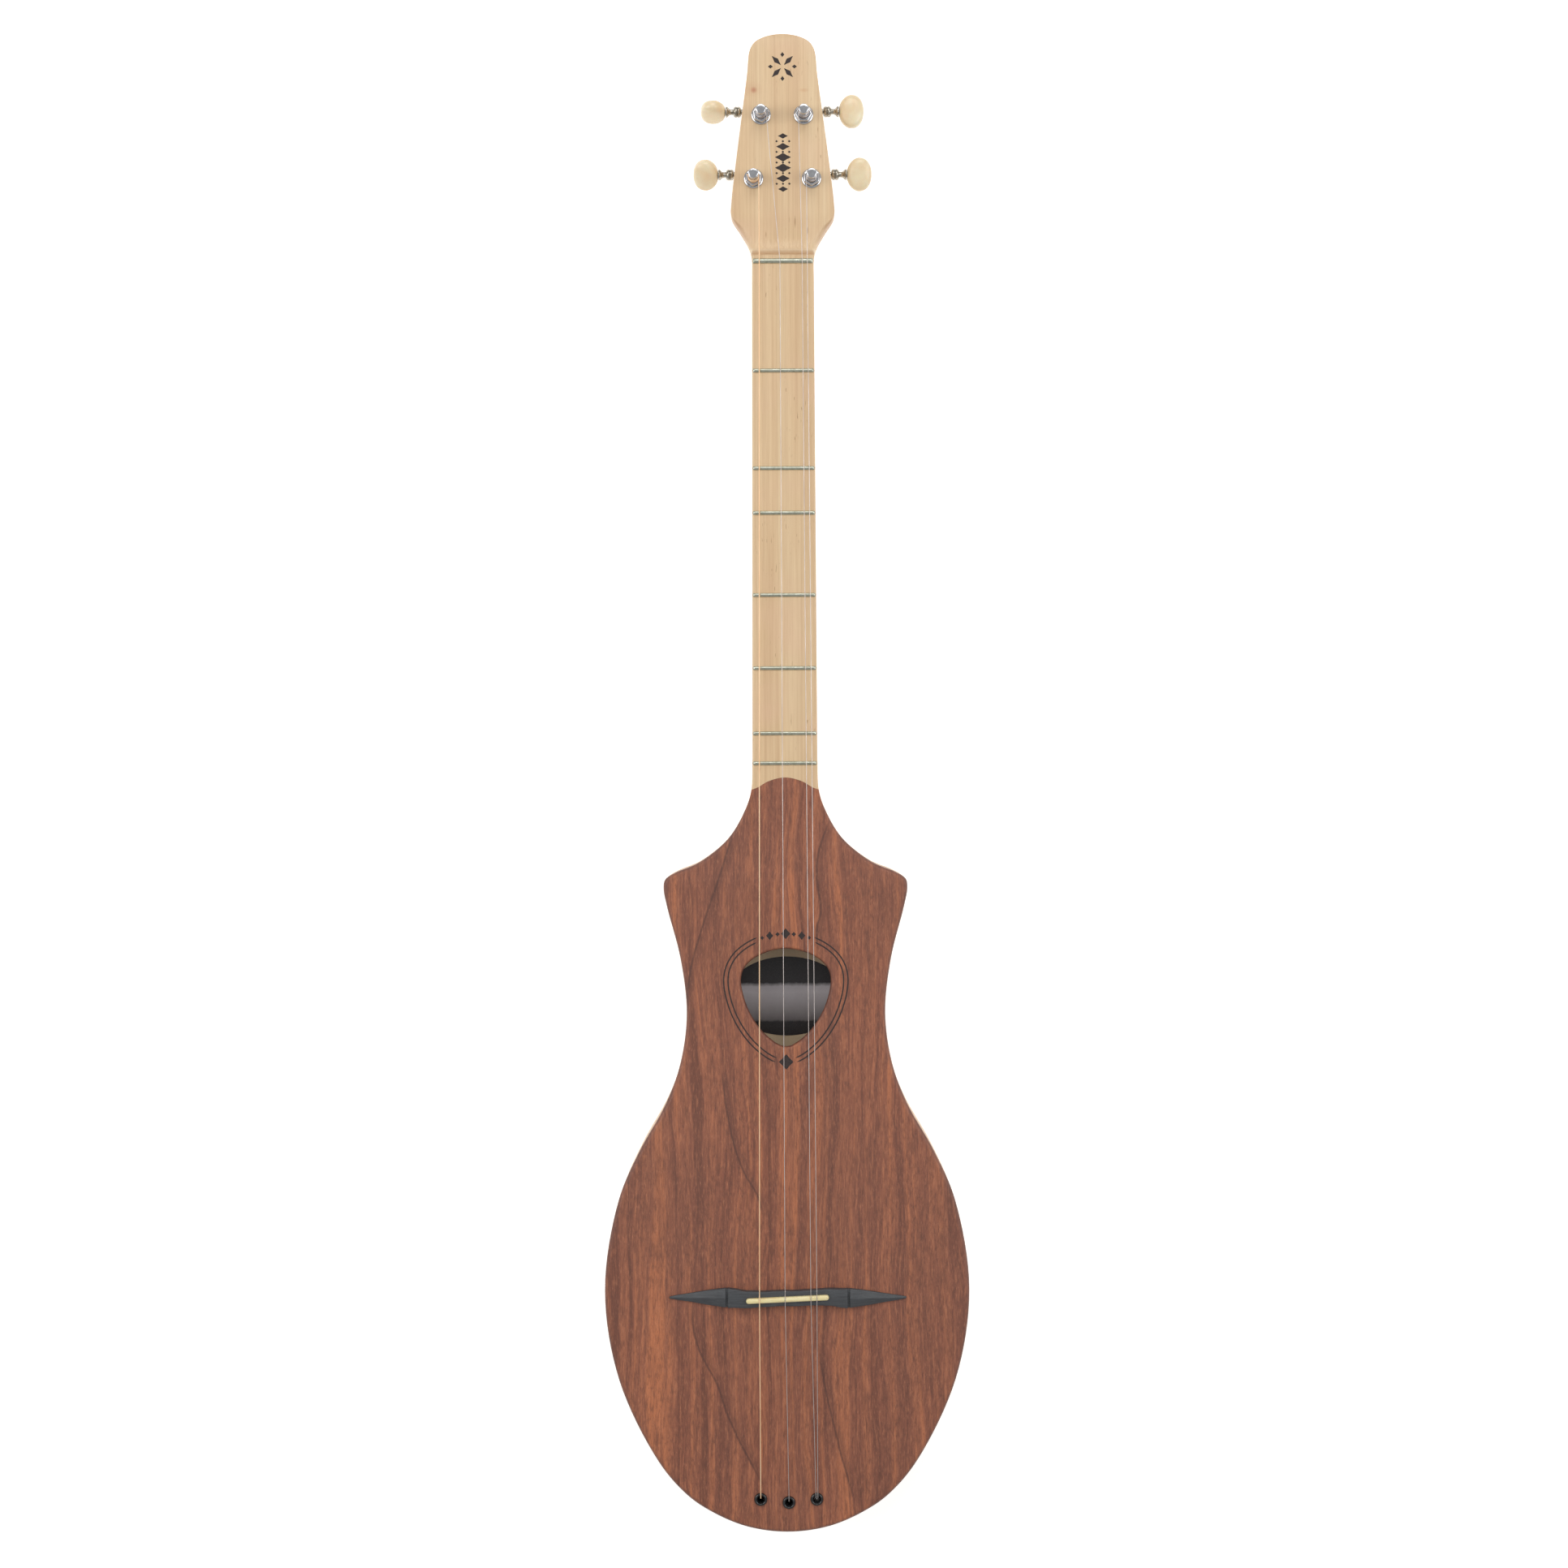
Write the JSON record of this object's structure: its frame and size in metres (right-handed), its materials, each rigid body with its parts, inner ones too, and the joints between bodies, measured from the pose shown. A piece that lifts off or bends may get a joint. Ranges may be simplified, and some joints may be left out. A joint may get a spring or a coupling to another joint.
{
  "type": "appalachian dulcimer",
  "caption": "Stick-style dulcimer with a hollow maple body, mahogany soundboard, diatonic frets, winged bridge and geared tuners.",
  "frame": {"origin": "middle of the overall length and width, on the flat back that the instrument lies on", "axes": "+X to the player's view right, +Y along the strings towards the headstock, +Z out of the soundboard"},
  "size_m": [0.2122, 0.873, 0.0528],
  "materials": {
    "maple": "satin pale maple, fine straight grain",
    "mahogany": "satin red-brown mahogany with dark figure lines and open pores",
    "spruce": "bare spruce",
    "bridge_black": "black, satin",
    "bone": "polished bone substitute",
    "nickel_silver": "polished fret wire",
    "chrome": "bright chrome plate",
    "aged_nickel": "aged nickel plate",
    "brass": "machined brass",
    "cream_plastic": "moulded cream plastic, semi-gloss",
    "black_plastic": "glossy black",
    "string_steel": "plain steel wire",
    "string_bronze": "bronze-wound wire",
    "label_paper": "plain printed paper, no text"
  },
  "bodies": {
    "root": {"neck_and_body": "maple", "bridge_plate": "maple", "soundboard": "mahogany", "upper_brace": "spruce", "lower_brace": "spruce", "label": "label_paper", "bridge": "bridge_black", "saddle": "bone", "fret_0": "nickel_silver", "fret_1": "nickel_silver", "fret_2": "nickel_silver", "fret_3": "nickel_silver", "fret_4": "nickel_silver", "fret_5": "nickel_silver", "fret_6": "nickel_silver", "fret_7": "nickel_silver", "front_ferrule_1": "black_plastic", "back_ferrule_1": "chrome", "front_ferrule_2": "black_plastic", "back_ferrule_2": "chrome", "front_ferrule_3": "black_plastic", "back_ferrule_3": "chrome", "string_1": "string_bronze", "string_2": "string_steel", "string_3": "string_steel", "string_4": "string_steel", "base_plate_lower_left": "aged_nickel", "washer_lower_left": "chrome", "bushing_lower_left": "chrome", "base_plate_upper_left": "aged_nickel", "washer_upper_left": "chrome", "bushing_upper_left": "chrome", "base_plate_upper_right": "aged_nickel", "washer_upper_right": "chrome", "bushing_upper_right": "chrome", "base_plate_lower_right": "aged_nickel", "washer_lower_right": "chrome", "bushing_lower_right": "chrome"},
    "button_shaft_lower_left": {"worm_lower_left": "aged_nickel", "button_lower_left": "cream_plastic"},
    "string_post_lower_left": {"post_lower_left": "chrome", "gear_lower_left": "brass", "string_1_winding": "string_bronze"},
    "button_shaft_upper_left": {"worm_upper_left": "aged_nickel", "button_upper_left": "cream_plastic"},
    "string_post_upper_left": {"post_upper_left": "chrome", "gear_upper_left": "brass", "string_2_winding": "string_steel"},
    "button_shaft_upper_right": {"worm_upper_right": "aged_nickel", "button_upper_right": "cream_plastic"},
    "string_post_upper_right": {"post_upper_right": "chrome", "gear_upper_right": "brass", "string_3_winding": "string_steel"},
    "button_shaft_lower_right": {"worm_lower_right": "aged_nickel", "button_lower_right": "cream_plastic"},
    "string_post_lower_right": {"post_lower_right": "chrome", "gear_lower_right": "brass", "string_4_winding": "string_steel"}
  },
  "joints": [
    {"name": "button_turn_lower_left", "type": "hinge", "parent": "root", "child": "button_shaft_lower_left", "pos_m": [-0.0169, 0.3598, 0.019], "axis": [-1, 0, 0], "continuous": true},
    {"name": "post_turn_lower_left", "type": "hinge", "parent": "root", "child": "string_post_lower_left", "pos_m": [-0.0169, 0.3526, 0.019], "axis": [0, 0, 1], "continuous": true},
    {"name": "button_turn_upper_left", "type": "hinge", "parent": "root", "child": "button_shaft_upper_left", "pos_m": [-0.0124, 0.397, 0.019], "axis": [-1, 0, 0], "continuous": true},
    {"name": "post_turn_upper_left", "type": "hinge", "parent": "root", "child": "string_post_upper_left", "pos_m": [-0.0124, 0.3898, 0.019], "axis": [0, 0, 1], "continuous": true},
    {"name": "button_turn_upper_right", "type": "hinge", "parent": "root", "child": "button_shaft_upper_right", "pos_m": [0.0124, 0.397, 0.019], "axis": [1, 0, 0], "continuous": true},
    {"name": "post_turn_upper_right", "type": "hinge", "parent": "root", "child": "string_post_upper_right", "pos_m": [0.0124, 0.3898, 0.019], "axis": [0, 0, 1], "continuous": true},
    {"name": "button_turn_lower_right", "type": "hinge", "parent": "root", "child": "button_shaft_lower_right", "pos_m": [0.0169, 0.3598, 0.019], "axis": [1, 0, 0], "continuous": true},
    {"name": "post_turn_lower_right", "type": "hinge", "parent": "root", "child": "string_post_lower_right", "pos_m": [0.0169, 0.3526, 0.019], "axis": [0, 0, 1], "continuous": true}
  ],
  "couplings": [
    {"joint": "post_turn_lower_left", "follows": "button_turn_lower_left", "ratio": 0.071429},
    {"joint": "post_turn_upper_left", "follows": "button_turn_upper_left", "ratio": 0.071429},
    {"joint": "post_turn_upper_right", "follows": "button_turn_upper_right", "ratio": 0.071429},
    {"joint": "post_turn_lower_right", "follows": "button_turn_lower_right", "ratio": 0.071429}
  ]
}
